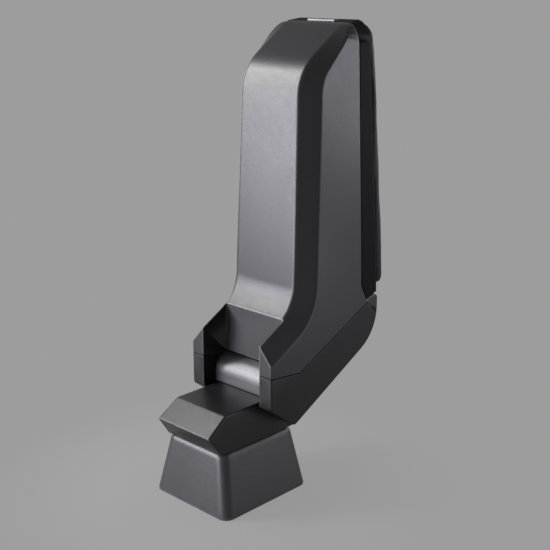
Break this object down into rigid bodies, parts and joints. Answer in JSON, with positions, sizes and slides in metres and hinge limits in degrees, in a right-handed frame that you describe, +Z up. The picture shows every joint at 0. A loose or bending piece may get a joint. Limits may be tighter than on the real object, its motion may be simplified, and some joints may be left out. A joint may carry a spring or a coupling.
{
  "type": "center console armrest",
  "caption": "Folding centre console armrest: flared foot, wedge-nosed hinge head, and an upright storage arm with chamfered tray, padded lid and a silver latch button.",
  "frame": {"origin": "centre of the base plate's underside, in the middle of the width", "axes": "+X across the car to the right seat of the pair, -Y to the front of the car, +Z up; the arm is shown folded up"},
  "size_m": [0.079, 0.1691, 0.3244],
  "materials": {
    "body_plastic": "dark grey grained plastic",
    "cover_plastic": "near-black grained plastic",
    "foot_plastic": "dark grey plastic",
    "pad_leather": "soft black pad skin",
    "silver_button": "satin silver paint",
    "zinc_steel": "zinc-plated steel",
    "nylon": "natural nylon",
    "rubber": "black rubber"
  },
  "bodies": {
    "foot": {"barrel_bush_left": "nylon", "barrel_bush_right": "nylon", "barrel_screw_left": "zinc_steel", "barrel_screw_right": "zinc_steel", "base_plate": "zinc_steel", "column_shell": "foot_plastic", "hinge_barrel": "cover_plastic", "hinge_head": "cover_plastic", "hinge_shaft": "zinc_steel", "post": "zinc_steel", "saddle": "zinc_steel", "shaft_nut_left": "zinc_steel", "shaft_nut_right": "zinc_steel"},
    "arm": {"bin_mat": "rubber", "cheek_plate_left": "zinc_steel", "cheek_plate_right": "zinc_steel", "cheek_screw_left_1": "zinc_steel", "cheek_screw_left_2": "zinc_steel", "cheek_screw_right_1": "zinc_steel", "cheek_screw_right_2": "zinc_steel", "friction_washer_left": "nylon", "friction_washer_right": "nylon", "hinge_cover": "cover_plastic", "lid_pin": "zinc_steel", "striker": "zinc_steel", "tie_rod": "zinc_steel", "tray_shell": "body_plastic"},
    "lid": {"latch_spring_left": "zinc_steel", "latch_spring_right": "zinc_steel", "lid_base": "cover_plastic", "lid_pad": "pad_leather", "lid_panel": "cover_plastic"},
    "button": {"latch_button": "silver_button", "latch_hook": "nylon"}
  },
  "joints": [
    {"name": "arm_tilt", "type": "hinge", "parent": "foot", "child": "arm", "pos_m": [0, 0.0237, 0.0778], "axis": [1, 0, 0], "range_deg": [0, 90]},
    {"name": "lid_hinge", "type": "hinge", "parent": "arm", "child": "lid", "pos_m": [0, 0.1095, 0.12426], "axis": [-1, 0, 0], "range_deg": [0, 78]},
    {"name": "button", "type": "slide", "parent": "lid", "child": "button", "axis": [0, 0, -1], "range_m": [0, 0.0025], "stiffness_N_per_m": 800, "springref_m": -0.001, "deforming": ["latch_spring_left", "latch_spring_right"]}
  ]
}
